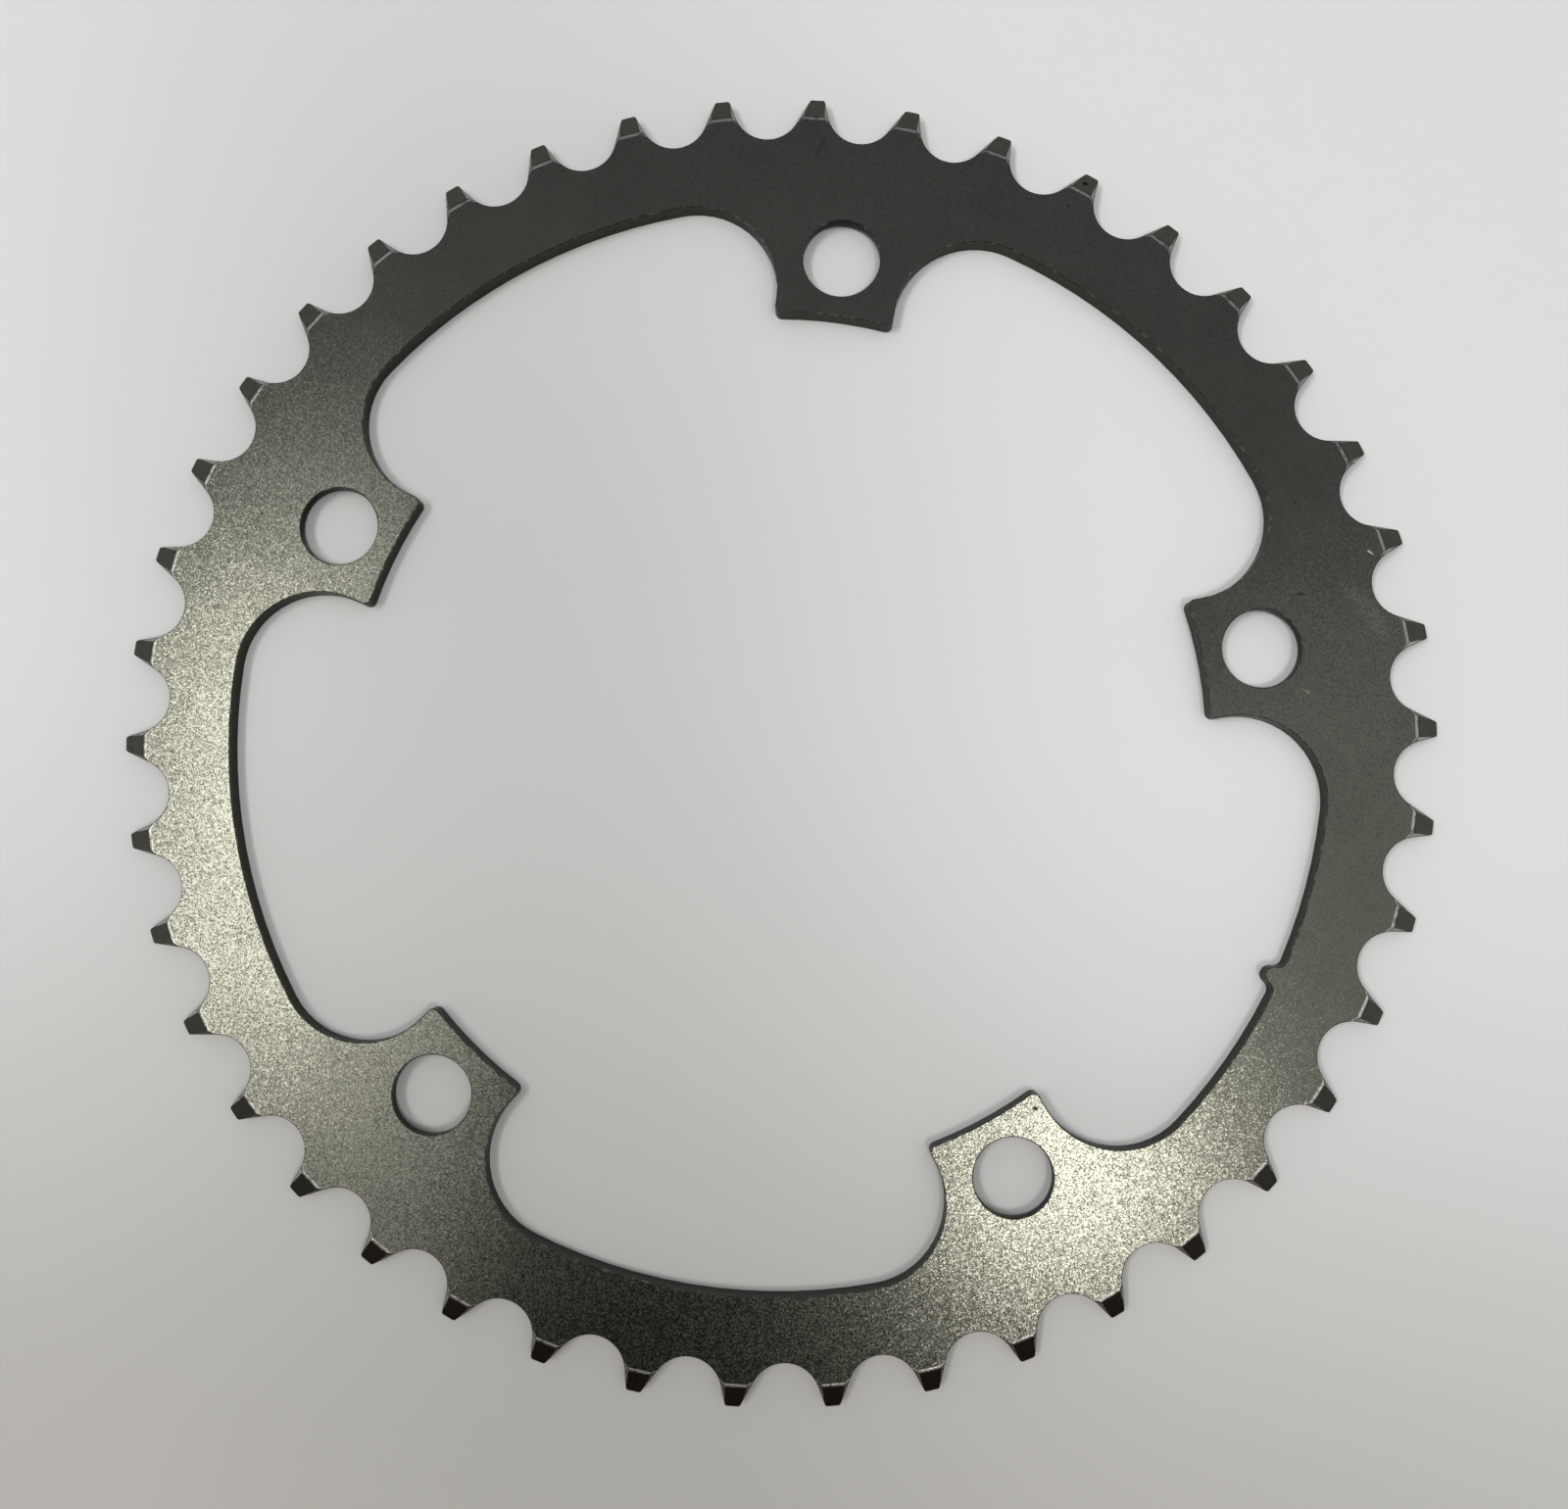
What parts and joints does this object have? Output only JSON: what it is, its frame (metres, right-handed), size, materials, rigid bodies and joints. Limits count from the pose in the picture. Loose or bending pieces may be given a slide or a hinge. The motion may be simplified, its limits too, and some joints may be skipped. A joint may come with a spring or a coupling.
{
  "type": "bicycle chainring",
  "caption": "Flat toothed ring for a bicycle crank: leaning chain teeth with bevelled tips outside, bolt tabs with counterbored holes inside.",
  "frame": {"origin": "on the ring's axis, at its flat rear face", "axes": "+Z along the axis out of the plain front face, +Y through one bolt hole, +X to its right seen from the front"},
  "size_m": [0.1738, 0.1734, 0.003],
  "materials": {
    "chainring": "bead-blasted and hard-anodised dark grey, with bright worn edges"
  },
  "bodies": {
    "root": {"chainring": "chainring"}
  },
  "joints": []
}
